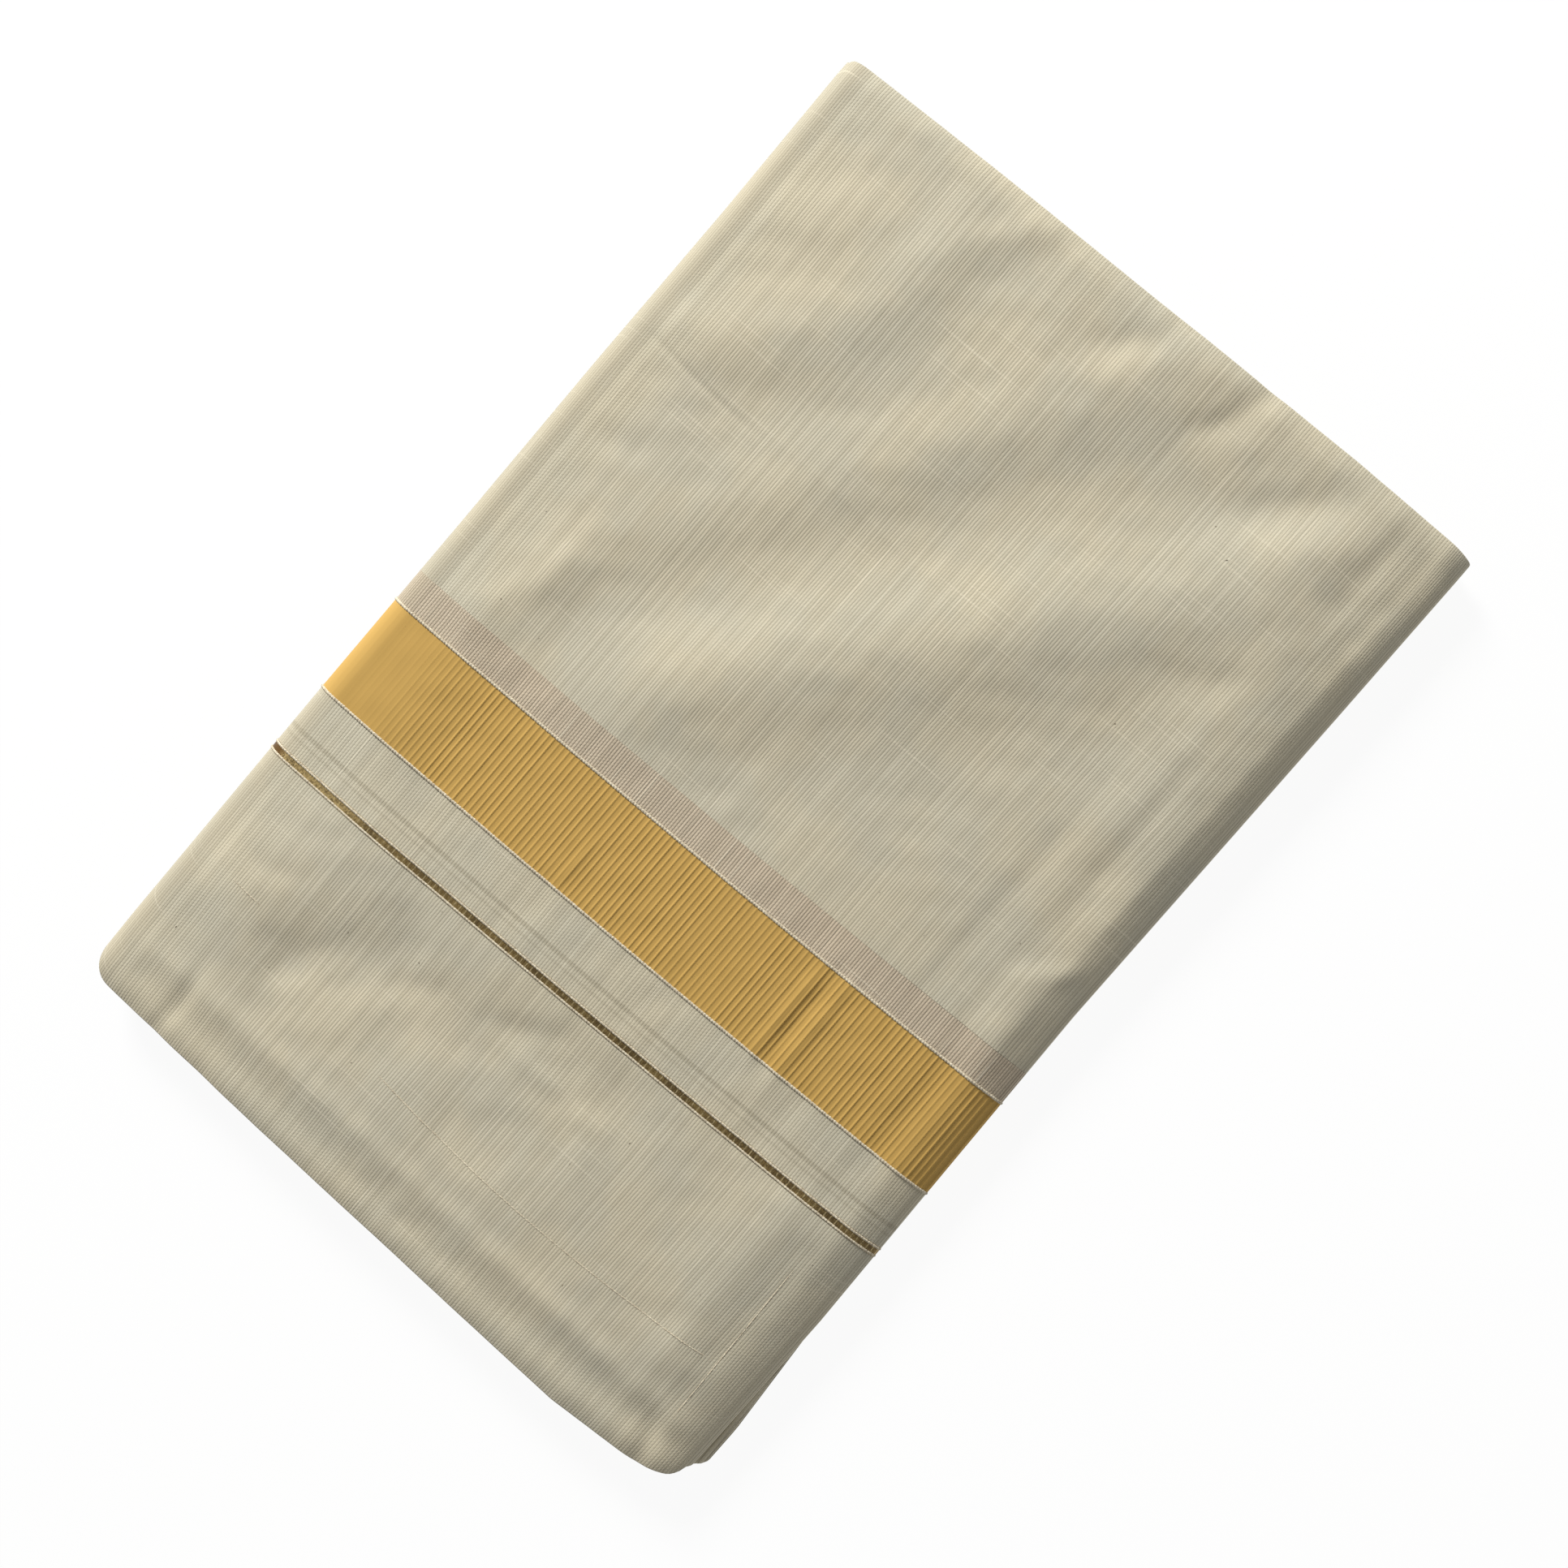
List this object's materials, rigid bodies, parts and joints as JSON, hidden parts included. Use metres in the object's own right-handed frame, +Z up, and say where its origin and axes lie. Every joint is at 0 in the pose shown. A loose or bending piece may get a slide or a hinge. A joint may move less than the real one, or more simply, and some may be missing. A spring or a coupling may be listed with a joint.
{
  "type": "folded dhoti cloth",
  "caption": "Handloom cotton dhoti folded into a flat pack, with a ribbed gold zari border and a thin gold line running across it and round its folds.",
  "frame": {"origin": "centre of the footprint, on the surface that the pack lies on", "axes": "+X across the pack towards the side where the upper and lower strips part, +Y along the pack away from the gold border, +Z up out of the top face"},
  "size_m": [0.257, 0.3885, 0.0181],
  "materials": {
    "cotton": "matt unbleached plain-weave cotton, finely ribbed",
    "open_weave": "matt open-weave cotton stripe",
    "zari_gold": "ribbed metallic gold thread with cream cotton edge cords",
    "inner_cotton": "matt unbleached cotton, folded edges"
  },
  "bodies": {
    "root": {"upper_panel": "cotton", "open_weave_strip": "open_weave", "zari_band": "zari_gold", "border_gap": "cotton", "zari_line": "zari_gold", "lower_panel": "cotton", "inner_layers": "inner_cotton"}
  },
  "joints": []
}
